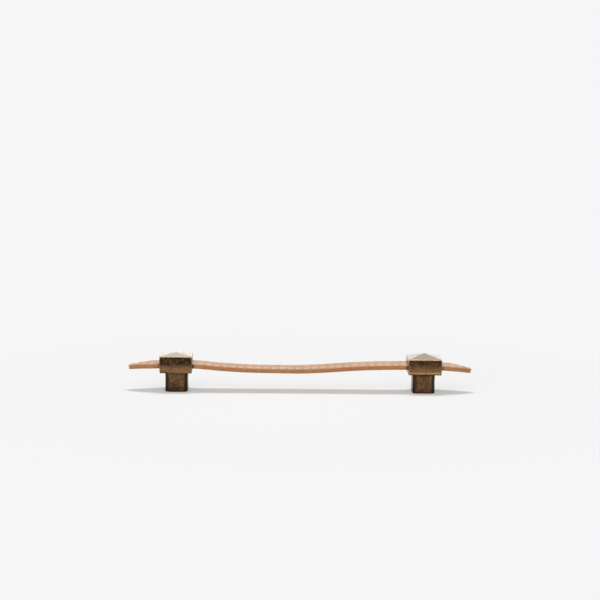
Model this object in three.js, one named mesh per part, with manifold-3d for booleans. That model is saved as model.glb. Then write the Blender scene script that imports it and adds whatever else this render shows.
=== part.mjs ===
// A leather strap pull. A stitched strap runs level through the slots of two cast bronze heads and
// hangs in a shallow sag between them; its pointed ends stick out past the heads and droop a little.
// Each head stands on a waisted square post, and a threaded stud holds post, head and strap together.
// Millimetres, +Z up. The strap runs along X, the posts stand on z = 0, and the origin is midway
// between them.
import * as THREE from "three";
import { mergeVertices } from "three/addons/utils/BufferGeometryUtils.js";
import Module from "manifold-3d";

const wasm = await Module();
wasm.setup();

// Layout
const POST_SPACING = 192; // between the axes of the two fixing holes
const POST_HEIGHT = 15.25;
const STRAP_HEIGHT = 20.3; // of the middle of its thickness, where it passes through the left head
const HEAD_OFFSET = 0.5; // each head sits this far outboard of its post's axis

// Hand work leaves the two sides a little different
const LEFT = {
  name: "left",
  side: -1,
  extra: -0.1, // on the size of the head
  wall: 13.2, // height of the head's walls
  rise: 1.65, // of its pyramid
  enter: 0, // how much higher the strap enters the head
  exit: 0, // how much higher it comes out
  taper: 18, // length of the strap's taper
  droop: 2.1, // of its tip
};
const RIGHT = {
  name: "right",
  side: 1,
  extra: 0.7,
  wall: 12.2,
  rise: 3.2,
  enter: 0.5,
  exit: -0.05,
  taper: 16,
  droop: 3.1,
};

// Head: a square block, a little wider at the top, under a low pyramid
const HEAD_SIZE = 25.4;
const HEAD_DRAFT = 0.15; // how much further in each wall is at the bottom
const HEAD_CORNER = 0.7;
const HEAD_EDGE = 0.3; // softened edge under the pyramid
const HEAD_LOWER_EDGE = 0.15; // softened edge round the underside
const APEX_FLAT = 1;

// Post: a square with well rounded corners, narrower at half height
const POST_SIZE = 18;
const POST_WAIST = 17.4;
const POST_CORNER = 3.5;
const POST_FOOT_ROUND = 0.8;
const POST_TOP_ROUND = 0.3;

// Strap
const TIP_REACH = 37.2; // from a post's axis out to the tip of the strap, along X
const STRAP_WIDTH = 19;
const STRAP_THICKNESS = 3.4;
const STRAP_EDGE_ROUND = 0.6;
const TIP_WIDTH = 5;
const TIP_ROUND = 0.5;
const SAG = 3.2;
const LOW_POINT_X = -8; // the strap hangs lowest here
const TWIST = THREE.MathUtils.degToRad(1.25); // its back edge lies higher on the right half
const TWIST_START_X = -20;
const TWIST_END_X = 15;

// How each stretch of the strap bends, as shares of that stretch: it leaves the head level for the
// first share, and comes in level to the low point over the second
const HANG_LEFT = { leave: 0.18, land: 0.75 };
const HANG_RIGHT = { leave: 0.55, land: 0.35 };
const TIP_LEVEL_SHARE = 0.35;

// Stitching: one flat waxed thread in a running stitch round the strap, through awl slits
const STITCH_INSET = 3; // from the strap's edge in to the row
const STITCH_PITCH = 6.35;
const STITCH_LENGTH = 3.6; // on top; the rest of each pitch runs underneath
const ROW_NOSE_WIDTH = 2; // across the row where it turns at each tip
const THREAD_WIDTH = 1;
const THREAD_HEIGHT = 0.5;
const THREAD_LIFT = 0.05; // between thread and leather
const SLIT_CLEARANCE = 0.1;

// Slot through each head
const SLOT_SIDE_CLEARANCE = 0.3;
const SLOT_HEIGHT_CLEARANCE = 1; // above and below the leather, so that the stitches pass
const SLOT_CORNER = 0.8;
const SLOT_FLARE = 0.4; // eased mouths that spare the leather

// Stud: screwed into the post from above, through the head's floor and the strap into the roof
const STUD_DIAMETER = 5;
const STUD_CLEARANCE = 0.1; // on the radius, in metal
const STUD_IN_POST = 8;
const STUD_IN_ROOF = 2.2;
const STUD_CHAMFER = 0.5;
const ROOF_HOLE_SPARE = 0.4; // depth left above the stud
const PUNCH_CLEARANCE = 0.3; // on the radius, in the leather
const SOCKET_ACROSS_FLATS = 2.5;
const SOCKET_DEPTH = 2.5;

// Facets
const CORNER_STEPS = 4;
const EDGE_STEPS = 2;
const FOOT_STEPS = 3;
const WAIST_STEPS = 5;
const BORE_SIDES = 20;
const STRAP_STATIONS = 38;
const THREAD_SIDES = 6;

const OVERCUT = 1; // how far a cutting shape reaches past the face that it opens

const BRONZE = { color: 0x5a4630, roughness: 0.45, metalness: 0.9 };
const STEEL = { color: 0x8a8580, roughness: 0.4, metalness: 1 };
const LEATHER = { color: 0xcfa788, roughness: 0.65, metalness: 0 };
const THREAD = { color: 0xf0dcc2, roughness: 0.8, metalness: 0 };

// Booleans

function solidOf(geometry) {
  const bare = geometry.clone();
  bare.deleteAttribute("normal");
  bare.deleteAttribute("uv");
  const merged = mergeVertices(bare, 1e-4);
  return new wasm.Manifold(
    new wasm.Mesh({
      numProp: 3,
      vertProperties: merged.attributes.position.array,
      triVerts: new Uint32Array(merged.index.array),
    }),
  );
}

function geometryOf(solid) {
  const mesh = solid.getMesh();
  const geometry = new THREE.BufferGeometry();
  geometry.setAttribute("position", new THREE.BufferAttribute(mesh.vertProperties, 3));
  geometry.setIndex(new THREE.BufferAttribute(mesh.triVerts, 1));
  const faceted = geometry.toNonIndexed();
  faceted.computeVertexNormals();
  return faceted;
}

function cut(body, tools) {
  const cutters = wasm.Manifold.union(tools.map(solidOf));
  return geometryOf(solidOf(body).subtract(cutters));
}

// Shape helpers

// The outline of a rectangle with round corners, counter-clockwise
function roundedRectangle(width, depth, radius, steps) {
  const points = [];
  for (let corner = 0; corner < 4; corner++) {
    const startAngle = (corner * Math.PI) / 2;
    const middle = startAngle + Math.PI / 4;
    const x = Math.sign(Math.cos(middle)) * (width / 2 - radius);
    const y = Math.sign(Math.sin(middle)) * (depth / 2 - radius);
    for (let i = 0; i <= steps; i++) {
      const angle = startAngle + (i / steps) * (Math.PI / 2);
      points.push(new THREE.Vector2(x + radius * Math.cos(angle), y + radius * Math.sin(angle)));
    }
  }
  return points;
}

// A closed skin over a row of convex rings with equally many points. Each ring runs
// counter-clockwise when seen from the ring after it. The ends are capped, or meet in a loop.
function loft(rings, isLoop = false) {
  const count = rings[0].length;
  const positions = rings.flat().flatMap((p) => [p.x, p.y, p.z]);
  const faces = [];
  const last = rings.length - 1;
  for (let r = 0; r < (isLoop ? rings.length : last); r++) {
    const here = r * count;
    const next = ((r + 1) % rings.length) * count;
    for (let i = 0; i < count; i++) {
      const j = (i + 1) % count;
      faces.push(here + i, here + j, next + j, here + i, next + j, next + i);
    }
  }
  for (let i = 1; i + 1 < count && !isLoop; i++) {
    faces.push(0, i + 1, i);
    faces.push(last * count, last * count + i, last * count + i + 1);
  }
  const geometry = new THREE.BufferGeometry();
  geometry.setAttribute("position", new THREE.Float32BufferAttribute(positions, 3));
  geometry.setIndex(faces);
  geometry.computeVertexNormals();
  return geometry;
}

// A square with round corners lying level at height z
function levelSquare(size, radius, steps, z) {
  return roundedRectangle(size, size, radius, steps).map((p) => new THREE.Vector3(p.x, p.y, z));
}

// An upright round hole or bar between two heights
function uprightCylinder(radius, bottom, top, sides = BORE_SIDES) {
  return new THREE.CylinderGeometry(radius, radius, top - bottom, sides)
    .rotateX(Math.PI / 2)
    .translate(0, 0, (bottom + top) / 2);
}

// Heads

const studRadius = STUD_DIAMETER / 2;
const slotWidth = STRAP_WIDTH + 2 * SLOT_SIDE_CLEARANCE;
const slotHeight = STRAP_THICKNESS + 2 * SLOT_HEIGHT_CLEARANCE;
const headSizeOf = ({ extra }) => HEAD_SIZE + extra;
const gripHeightOf = ({ enter, exit }) => STRAP_HEIGHT + (enter + exit) / 2;
const studTopOf = (shape) => gripHeightOf(shape) + slotHeight / 2 + STUD_IN_ROOF;

// The slot runs along X, with its two mouths flared
function slotCutter(shape) {
  const halfRun = headSizeOf(shape) / 2;
  const middle = gripHeightOf(shape) - POST_HEIGHT;
  const ringAt = (x, flare) =>
    roundedRectangle(slotWidth + flare, slotHeight + flare, SLOT_CORNER + flare / 2, EDGE_STEPS).map(
      (p) => new THREE.Vector3(x, p.x, middle + p.y),
    );
  const mouth = 2 * (SLOT_FLARE + OVERCUT);
  return loft([
    ringAt(-halfRun - OVERCUT, mouth),
    ringAt(-halfRun + SLOT_FLARE, 0),
    ringAt(halfRun - SLOT_FLARE, 0),
    ringAt(halfRun + OVERCUT, mouth),
  ]);
}

// Its own axis is the middle of the block, and its underside is at z = 0
function headGeometry(shape) {
  const { side, wall, rise } = shape;
  const size = headSizeOf(shape);
  const bottomSize = size - 2 * HEAD_DRAFT;
  const block = loft([
    levelSquare(bottomSize - 2 * HEAD_LOWER_EDGE, HEAD_CORNER, EDGE_STEPS, 0),
    levelSquare(bottomSize, HEAD_CORNER, EDGE_STEPS, HEAD_LOWER_EDGE),
    levelSquare(size, HEAD_CORNER, EDGE_STEPS, wall - HEAD_EDGE),
    levelSquare(size - 2 * HEAD_EDGE, HEAD_CORNER, EDGE_STEPS, wall),
    levelSquare(APEX_FLAT, APEX_FLAT / 4, EDGE_STEPS, wall + rise),
  ]);
  const holeTop = studTopOf(shape) + ROOF_HOLE_SPARE - POST_HEIGHT;
  const studHole = uprightCylinder(studRadius + STUD_CLEARANCE, -OVERCUT, holeTop);
  studHole.translate(-side * HEAD_OFFSET, 0, 0);
  return cut(block, [slotCutter(shape), studHole]);
}

// Posts

// The post is widest at its foot and top, and eases in to its waist
function postSizeAt(z) {
  const fromMiddle = Math.abs((2 * z) / POST_HEIGHT - 1);
  return POST_WAIST + (POST_SIZE - POST_WAIST) * fromMiddle ** 2;
}

function postGeometry() {
  const rings = [];
  for (let i = 0; i < FOOT_STEPS; i++) {
    const angle = (i / FOOT_STEPS) * (Math.PI / 2);
    const inset = POST_FOOT_ROUND * (1 - Math.sin(angle));
    const z = POST_FOOT_ROUND * (1 - Math.cos(angle));
    rings.push(levelSquare(postSizeAt(z) - 2 * inset, POST_CORNER - inset, CORNER_STEPS, z));
  }
  const shaft = POST_HEIGHT - POST_FOOT_ROUND - POST_TOP_ROUND;
  for (let i = 0; i <= WAIST_STEPS; i++) {
    const z = POST_FOOT_ROUND + (i / WAIST_STEPS) * shaft;
    rings.push(levelSquare(postSizeAt(z), POST_CORNER, CORNER_STEPS, z));
  }
  const topSize = postSizeAt(POST_HEIGHT) - 2 * POST_TOP_ROUND;
  rings.push(levelSquare(topSize, POST_CORNER - POST_TOP_ROUND, CORNER_STEPS, POST_HEIGHT));
  const bore = uprightCylinder(studRadius + STUD_CLEARANCE, -OVERCUT, POST_HEIGHT + OVERCUT);
  return cut(loft(rings), [bore]);
}

// Studs

// A headless screw with chamfered ends and a hexagon socket in its lower end
function studGeometry(shape) {
  const bottom = POST_HEIGHT - STUD_IN_POST;
  const top = studTopOf(shape);
  const profile = [
    new THREE.Vector2(0, bottom),
    new THREE.Vector2(studRadius - STUD_CHAMFER, bottom),
    new THREE.Vector2(studRadius, bottom + STUD_CHAMFER),
    new THREE.Vector2(studRadius, top - STUD_CHAMFER),
    new THREE.Vector2(studRadius - STUD_CHAMFER, top),
    new THREE.Vector2(0, top),
  ];
  const bar = new THREE.LatheGeometry(profile, BORE_SIDES).rotateX(Math.PI / 2);
  const socketRadius = SOCKET_ACROSS_FLATS / Math.sqrt(3);
  const socket = uprightCylinder(socketRadius, bottom - OVERCUT, bottom + SOCKET_DEPTH, 6);
  return cut(bar, [socket]);
}

// Strap

const headMiddleX = POST_SPACING / 2 + HEAD_OFFSET;
const headInnerXOf = (shape) => shape.side * (headMiddleX - headSizeOf(shape) / 2);
const headOuterXOf = (shape) => shape.side * (headMiddleX + headSizeOf(shape) / 2);

const alongStrap = (x, z) => new THREE.Vector3(x, 0, z);

// One side of the strap's middle line, from the low point out to the tip
function strapSide(shape, { leave, land }) {
  const low = alongStrap(LOW_POINT_X, STRAP_HEIGHT - SAG);
  const inner = alongStrap(headInnerXOf(shape), STRAP_HEIGHT + shape.enter);
  const outer = alongStrap(headOuterXOf(shape), STRAP_HEIGHT + shape.exit);
  const tip = alongStrap(shape.side * (POST_SPACING / 2 + TIP_REACH), outer.z - shape.droop);
  const reach = inner.x - low.x;
  const landing = alongStrap(low.x + land * reach, low.z);
  const leaving = alongStrap(inner.x - leave * reach, inner.z);
  const knee = alongStrap(outer.x + TIP_LEVEL_SHARE * (tip.x - outer.x), outer.z);
  return { hang: [low, landing, leaving, inner], grip: [inner, outer], end: [outer, knee, tip] };
}

function strapMiddleLine() {
  const left = strapSide(LEFT, HANG_LEFT);
  const right = strapSide(RIGHT, HANG_RIGHT);
  const line = new THREE.CurvePath();
  line.add(new THREE.QuadraticBezierCurve3(...left.end.reverse()));
  line.add(new THREE.LineCurve3(...left.grip.reverse()));
  line.add(new THREE.CubicBezierCurve3(...left.hang.reverse()));
  line.add(new THREE.CubicBezierCurve3(...right.hang));
  line.add(new THREE.LineCurve3(...right.grip));
  line.add(new THREE.QuadraticBezierCurve3(...right.end));
  return line;
}

const middleLine = strapMiddleLine();
const lineLength = middleLine.getLength();

// The strap is level from the left tip to its low point, twists a little on the way to the right
// head, and is level again before it reaches the stud there
function twistAt(x) {
  const { smoothstep } = THREE.MathUtils;
  const leaving = smoothstep(x, TWIST_START_X, TWIST_END_X);
  const ending = smoothstep(x, headInnerXOf(RIGHT), POST_SPACING / 2);
  return TWIST * (leaving - ending);
}

// A place on the strap: how far along its middle line, how far across it, and how far above its
// middle surface
function onStrap(along, across, above) {
  const share = THREE.MathUtils.clamp(along / lineLength, 0, 1);
  const tangent = middleLine.getTangent(share);
  const place = middleLine.getPoint(share);
  const section = new THREE.Vector2(across, above).rotateAround(new THREE.Vector2(), twistAt(place.x));
  const up = new THREE.Vector3(-tangent.z, 0, tangent.x);
  return place.addScaledVector(up, section.y).setY(section.x);
}

// Full width along the strap, and a straight taper to the blunt tip at each end
function strapWidthAt(along) {
  const taper = Math.min(along / LEFT.taper, (lineLength - along) / RIGHT.taper, 1);
  return TIP_WIDTH + (STRAP_WIDTH - TIP_WIDTH) * taper;
}

function strapGeometry() {
  const stations = [0, TIP_ROUND, LEFT.taper];
  stations.push(lineLength - RIGHT.taper, lineLength - TIP_ROUND, lineLength);
  for (let i = 1; i < STRAP_STATIONS; i++) stations.push((i / STRAP_STATIONS) * lineLength);
  stations.sort((a, b) => a - b);
  const rings = stations.map((along) => {
    const atTip = along === 0 || along === lineLength;
    const inset = atTip ? TIP_ROUND : 0;
    const width = strapWidthAt(along) - 2 * inset;
    const height = STRAP_THICKNESS - 2 * inset;
    const outline = roundedRectangle(width, height, STRAP_EDGE_ROUND, EDGE_STEPS);
    return outline.map((p) => onStrap(along, p.x, p.y));
  });
  const reach = STRAP_THICKNESS / 2 + OVERCUT;
  const punched = [LEFT, RIGHT].map((shape) => {
    const grip = gripHeightOf(shape);
    const hole = uprightCylinder(studRadius + PUNCH_CLEARANCE, grip - reach, grip + reach);
    return hole.translate((shape.side * POST_SPACING) / 2, 0, 0);
  });
  const slits = needleHoles().map(({ ringAt }) =>
    loft([ringAt(-reach, SLIT_CLEARANCE, 0), ringAt(reach, SLIT_CLEARANCE, 0)]),
  );
  return cut(loft(rings), [...punched, ...slits]);
}

// Stitching

// The row's two ends near a tip, for one half of the strap: how far from the tip it turns, and how
// far from it the row leaves the taper for the straight edge
function rowCorners({ taper }) {
  const slope = (STRAP_WIDTH - TIP_WIDTH) / 2 / taper;
  const inset = STITCH_INSET * Math.hypot(1, slope);
  const fromTip = (across) => (across - TIP_WIDTH / 2 + inset) / slope;
  return { nose: fromTip(ROW_NOSE_WIDTH / 2), shoulder: fromTip(STRAP_WIDTH / 2 - STITCH_INSET) };
}

// The row on the flat strap, as distance along it and across it: parallel to the straight edges and
// to the tapers, turning just short of each tip
function stitchRow() {
  const left = rowCorners(LEFT);
  const right = rowCorners(RIGHT);
  const straight = STRAP_WIDTH / 2 - STITCH_INSET;
  const backHalf = [
    new THREE.Vector2(left.nose, ROW_NOSE_WIDTH / 2),
    new THREE.Vector2(left.shoulder, straight),
    new THREE.Vector2(lineLength - right.shoulder, straight),
    new THREE.Vector2(lineLength - right.nose, ROW_NOSE_WIDTH / 2),
  ];
  const frontHalf = backHalf.map((p) => new THREE.Vector2(p.x, -p.y));
  return new THREE.Path().setFromPoints([...frontHalf, ...backHalf.reverse(), frontHalf[0]]);
}

// Where the thread passes through the leather, in order round the row. A hole leans back where the
// thread comes up and forward where it goes down. Its ringAt gives the thread's outline there, at a
// height above the strap's middle surface, as a mitre between the upright and the level run.
function needleHoles() {
  const row = stitchRow();
  const length = row.getLength();
  const count = Math.round(length / STITCH_PITCH);
  const holes = [];
  for (let stitch = 0; stitch < count; stitch++) {
    for (const [ahead, lean] of [[0, -1], [STITCH_LENGTH, 1]]) {
      const share = stitch / count + ahead / length;
      const place = row.getPoint(share);
      const forward = row.getTangent(share);
      const ringAt = (above, extra, mitre) => {
        const ring = [];
        for (let i = 0; i < THREAD_SIDES; i++) {
          const angle = (2 * Math.PI * i) / THREAD_SIDES;
          const sideways = (THREAD_WIDTH / 2 + extra) * Math.cos(angle);
          const depth = (THREAD_HEIGHT / 2 + extra) * Math.sin(angle);
          const leaning = mitre ? lean * depth : -depth;
          const along = place.x + leaning * forward.x - sideways * forward.y;
          const across = place.y + leaning * forward.y + sideways * forward.x;
          ring.push(onStrap(along, across, above + mitre * depth));
        }
        return ring;
      };
      holes.push({ lean, ringAt });
    }
  }
  return holes;
}

function stitchingGeometry() {
  const level = STRAP_THICKNESS / 2 + THREAD_LIFT + THREAD_HEIGHT / 2;
  const rings = needleHoles().flatMap(({ lean, ringAt }) => {
    const under = ringAt(-level, 0, 1);
    const over = ringAt(level, 0, 1);
    return lean < 0 ? [under, over] : [over, under];
  });
  return loft(rings, true);
}

// Assembly

function meshOf(name, geometry, finish) {
  const mesh = new THREE.Mesh(geometry, new THREE.MeshStandardMaterial(finish));
  mesh.name = name;
  return mesh;
}

// A post with its stud and head, standing on its fixing point
function support(shape) {
  const group = new THREE.Group();
  const head = meshOf(`${shape.name}_head`, headGeometry(shape), BRONZE);
  head.position.set(shape.side * HEAD_OFFSET, 0, POST_HEIGHT);
  group.add(
    head,
    meshOf(`${shape.name}_post`, postGeometry(), BRONZE),
    meshOf(`${shape.name}_stud`, studGeometry(shape), STEEL),
  );
  group.position.x = (shape.side * POST_SPACING) / 2;
  return group;
}

const strapPull = new THREE.Group();
strapPull.add(
  support(LEFT),
  support(RIGHT),
  meshOf("strap", strapGeometry(), LEATHER),
  meshOf("stitching", stitchingGeometry(), THREAD),
);

export default strapPull;
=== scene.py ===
"""The looks of the leather strap pull: a stitched strap through two bronze heads on square posts.

Everything is in metres in the frame of the CAD part. Sizes below are in millimetres.
"""

import math

import bmesh
import bpy
import numpy as np
from mathutils import Matrix, Vector


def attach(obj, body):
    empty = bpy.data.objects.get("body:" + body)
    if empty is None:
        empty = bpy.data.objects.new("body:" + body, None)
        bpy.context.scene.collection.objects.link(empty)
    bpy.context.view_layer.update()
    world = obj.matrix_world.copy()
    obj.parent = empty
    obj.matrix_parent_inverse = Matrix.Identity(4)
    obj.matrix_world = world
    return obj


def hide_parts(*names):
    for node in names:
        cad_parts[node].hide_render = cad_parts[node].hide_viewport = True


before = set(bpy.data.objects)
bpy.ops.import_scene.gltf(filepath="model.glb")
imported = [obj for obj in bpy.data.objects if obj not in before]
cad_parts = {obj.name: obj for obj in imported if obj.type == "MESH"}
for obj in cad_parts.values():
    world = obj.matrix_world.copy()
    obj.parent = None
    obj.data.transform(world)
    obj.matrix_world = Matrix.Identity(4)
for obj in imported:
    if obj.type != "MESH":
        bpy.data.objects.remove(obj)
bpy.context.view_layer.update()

MM = 0.001

# Sizes of the part
POST_SPACING = 192.0
STRAP_HEIGHT = 20.3
HEAD_OFFSET = 0.5
HEAD_SIZE = 25.4
TIP_REACH = 37.2
STRAP_WIDTH = 19.0
STRAP_THICKNESS = 3.4
TIP_WIDTH = 5.0
SAG = 3.2
LOW_POINT_X = -8.0
TWIST = math.radians(1.25)
TWIST_START_X = -20.0
TWIST_END_X = 15.0
TIP_LEVEL_SHARE = 0.35
LEFT = dict(
    side=-1, extra=-0.1, enter=0.0, exit=0.0, taper=18.0, droop=2.1, leave=0.18, land=0.75
)
RIGHT = dict(
    side=1, extra=0.7, enter=0.5, exit=-0.05, taper=16.0, droop=3.1, leave=0.55, land=0.35
)
STITCH_INSET = 3.0
STITCH_PITCH = 6.35
STITCH_LENGTH = 3.6
ROW_NOSE_WIDTH = 2.0
THREAD_WIDTH = 1.0

# Detail that only the scene has
CURVE_POINTS = 400  # to a curve of the strap's middle line
FACE_POINTS = 46  # across the strap's top or underside
EDGE_POINTS = 12  # round one of its edges
EDGE_ROUND = 0.55
END_RINGS, INNER_RINGS = 7, 640
END_ROUND = 1.2  # how far from its ends the strap is rounded
END_PULL = 0.55  # how much narrower it is there on each side
GROOVE_WIDTH = 0.75
FRONT_GROOVE_DEPTH = 0.13
BACK_GROOVE_EXTRA = 0.5  # the photograph shows no back row, so it lies deeper
COVERED_DEPTH = 0.05  # more where a stitch presses on the leather
HOLE_WIDTH = 0.55
HOLE_DEPTH = 0.3
PILLOW_HEIGHT = 0.06  # of the leather beside the row
# how far the stain and painted shade by a slot's mouth reach, and their share at each mouth
SLOT_STAIN_REACH = 2.6
SLOT_STAINS = [(LEFT, -1, 1.0), (LEFT, 1, 0.35), (RIGHT, -1, 1.0), (RIGHT, 1, 0.6)]
THREAD_HEIGHT = 0.74
THREAD_SINK = 0.27  # of the thread's lower side below the leather's face
BACK_THREAD_SINK = 0.34  # share of its level that the back row is lower
HOLE_LEVEL = 0.9  # where the thread starts straight down through the leather
DIVE_LENGTH = 0.75
THREAD_POINTS = 14
PLIES = 3
PLY_TURN_LENGTH = 2.4
PLY_SWELL = 0.13
HEAD_VOXEL = 0.26
POST_VOXEL = 0.28
EDGE_ROUNDS = 14  # rounds of smoothing that find the edges of a casting
WORN_BULGE = 0.16  # an edge that stands this far out is fully worn
RECESS_BULGE = 0.12


def srgb(r, g, b):
    """A colour given as 0 to 255 on the screen, as the linear colour that shaders take."""
    def linear(v):
        v /= 255
        return v / 12.92 if v <= 0.04045 else ((v + 0.055) / 1.055) ** 2.4

    return (linear(r), linear(g), linear(b), 1.0)


# Small numeric tools


def smoothstep(x, low, high):
    """0 at low and 1 at high, which may be the smaller of the two."""
    t = np.clip((np.asarray(x, float) - low) / (high - low), 0, 1)
    return t * t * (3 - 2 * t)


class Noise:
    """Smooth seeded noise in space: a sum of octaves of waves in random directions."""

    WAVES = 9
    GAIN = 0.55  # of each octave over the one before
    LEVEL = 1.8

    def __init__(self, seed, size, octaves):
        rng = np.random.default_rng(seed)
        self.parts = []
        for octave in range(octaves):
            directions = rng.normal(size=(self.WAVES, 3))
            directions /= np.linalg.norm(directions, axis=1)[:, None]
            turns = 2 * np.pi * 2**octave / size * rng.uniform(0.7, 1.3, self.WAVES)
            phases = rng.uniform(0, 2 * np.pi, self.WAVES)
            self.parts.append((directions * turns[:, None], phases, self.GAIN**octave))

    def __call__(self, points):
        total = np.zeros(len(points))
        for waves, phases, gain in self.parts:
            total += gain * np.sin(points @ waves.T + phases).mean(axis=1)
        return total * self.LEVEL


def mesh_object(name, vertices, faces, smooth=True):
    """A mesh object from millimetre vertices and faces."""
    mesh = bpy.data.meshes.new(name)
    mesh.from_pydata([tuple(v) for v in np.asarray(vertices) * MM], [], faces)
    mesh.validate()
    obj = bpy.data.objects.new(name, mesh)
    bpy.context.scene.collection.objects.link(obj)
    if smooth:
        mesh.polygons.foreach_set("use_smooth", [True] * len(mesh.polygons))
    return obj


def write_mask(obj, name, values):
    """A value for each vertex that a material reads by its name."""
    attribute = obj.data.attributes.new(name, "FLOAT", "POINT")
    attribute.data.foreach_set("value", np.asarray(values, np.float32))


def coordinates(mesh):
    co = np.empty(len(mesh.vertices) * 3, np.float32)
    mesh.vertices.foreach_get("co", co)
    return co.reshape(-1, 3).astype(float)


def normals(mesh):
    n = np.empty(len(mesh.vertices) * 3, np.float32)
    mesh.vertices.foreach_get("normal", n)
    return n.reshape(-1, 3).astype(float)


def edge_pairs(mesh):
    pairs = np.empty(len(mesh.edges) * 2, np.int32)
    mesh.edges.foreach_get("vertices", pairs)
    return pairs.reshape(-1, 2)


def relaxed(points, pairs, rounds):
    """The points after each has moved to the mean of its neighbours, some rounds over."""
    counts = np.bincount(pairs.ravel(), minlength=len(points))[:, None]
    out = points.copy()
    for _ in range(rounds):
        total = np.zeros_like(out)
        for axis in range(3):
            total[:, axis] += np.bincount(pairs[:, 0], out[pairs[:, 1], axis], len(out))
            total[:, axis] += np.bincount(pairs[:, 1], out[pairs[:, 0], axis], len(out))
        out = total / counts
    return out


# The strap's middle line, as in the part


def bezier(points):
    points = [np.array(p, float) for p in points]
    t = np.linspace(0, 1, CURVE_POINTS)[:, None]
    while len(points) > 1:
        points = [a + (b - a) * t for a, b in zip(points, points[1:])]
    return points[0]


def head_x(shape, outward):
    """Where a head's side lies: 1 is its outer side and -1 its inner side."""
    half = (HEAD_SIZE + shape["extra"]) / 2
    return shape["side"] * (POST_SPACING / 2 + HEAD_OFFSET + outward * half)


def strap_side(shape):
    """The middle line from its low point through one head to the tip."""
    low = (LOW_POINT_X, STRAP_HEIGHT - SAG)
    inner = (head_x(shape, -1), STRAP_HEIGHT + shape["enter"])
    outer = (head_x(shape, 1), STRAP_HEIGHT + shape["exit"])
    tip = (shape["side"] * (POST_SPACING / 2 + TIP_REACH), outer[1] - shape["droop"])
    reach = inner[0] - low[0]
    landing = (low[0] + shape["land"] * reach, low[1])
    leaving = (inner[0] - shape["leave"] * reach, inner[1])
    knee = (outer[0] + TIP_LEVEL_SHARE * (tip[0] - outer[0]), outer[1])
    hang = bezier([low, landing, leaving, inner])
    grip = bezier([inner, outer])
    end = bezier([outer, knee, tip])
    return np.concatenate([hang, grip[1:], end[1:]])


line = np.concatenate([strap_side(LEFT)[::-1], strap_side(RIGHT)[1:]])
steps = np.linalg.norm(np.diff(line, axis=0), axis=1)
line_at = np.concatenate([[0], np.cumsum(steps)])
LENGTH = line_at[-1]
slope = np.gradient(line, line_at, axis=0)
slope /= np.linalg.norm(slope, axis=1)[:, None]


def on_strap(along, across, above):
    """Places on the strap: how far along its middle line, across it and above it."""
    along = np.clip(np.asarray(along, float), 0, LENGTH)
    across = np.asarray(across, float)
    above = np.asarray(above, float)
    x = np.interp(along, line_at, line[:, 0])
    z = np.interp(along, line_at, line[:, 1])
    dx = np.interp(along, line_at, slope[:, 0])
    dz = np.interp(along, line_at, slope[:, 1])
    ending = smoothstep(x, head_x(RIGHT, -1), POST_SPACING / 2)
    twist = TWIST * (smoothstep(x, TWIST_START_X, TWIST_END_X) - ending)
    side = across * np.cos(twist) - above * np.sin(twist)
    up = across * np.sin(twist) + above * np.cos(twist)
    return np.stack([x - dz * up, side, z + dx * up], axis=-1)


def width_at(along):
    taper = np.minimum(along / LEFT["taper"], (LENGTH - along) / RIGHT["taper"])
    return TIP_WIDTH + (STRAP_WIDTH - TIP_WIDTH) * np.clip(taper, 0, 1)


# The row of stitches on the flat strap


def row_corners(taper):
    """How far from the strap's end the row has its nose and its shoulder."""
    incline = (STRAP_WIDTH - TIP_WIDTH) / 2 / taper
    inset = STITCH_INSET * math.hypot(1, incline)
    nose = (ROW_NOSE_WIDTH / 2 - TIP_WIDTH / 2 + inset) / incline
    shoulder = (STRAP_WIDTH / 2 - STITCH_INSET - TIP_WIDTH / 2 + inset) / incline
    return nose, shoulder


def stitch_row():
    """The row's corners, all round the flat strap and back to the first."""
    left_nose, left_shoulder = row_corners(LEFT["taper"])
    right_nose, right_shoulder = row_corners(RIGHT["taper"])
    straight = STRAP_WIDTH / 2 - STITCH_INSET
    back = [
        (left_nose, ROW_NOSE_WIDTH / 2),
        (left_shoulder, straight),
        (LENGTH - right_shoulder, straight),
        (LENGTH - right_nose, ROW_NOSE_WIDTH / 2),
    ]
    front = [(x, -y) for x, y in back]
    return np.array([*front, *back[::-1], front[0]])


row = stitch_row()
row_at = np.concatenate([[0], np.cumsum(np.linalg.norm(np.diff(row, axis=0), axis=1))])
ROW_LENGTH = row_at[-1]
STITCHES = round(ROW_LENGTH / STITCH_PITCH)
PITCH = ROW_LENGTH / STITCHES


def on_row(distance):
    """Places on the flat strap: along the closed row by a distance."""
    distance = np.mod(distance, ROW_LENGTH)
    return np.stack([np.interp(distance, row_at, row[:, i]) for i in range(2)], axis=-1)


def row_distance(along, across):
    """How far points of the flat strap are from the row, and where along it they are nearest."""
    nearest = np.full(along.shape, 1e9)
    where = np.zeros(along.shape)
    for i in range(len(row) - 1):
        start, run = row[i], row[i + 1] - row[i]
        length = np.hypot(*run)
        t = ((along - start[0]) * run[0] + (across - start[1]) * run[1]) / length**2
        t = np.clip(t, 0, 1)
        gap = np.hypot(along - start[0] - t * run[0], across - start[1] - t * run[1])
        where = np.where(gap < nearest, row_at[i] + t * length, where)
        nearest = np.minimum(gap, nearest)
    return nearest, where


# Strap


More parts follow.
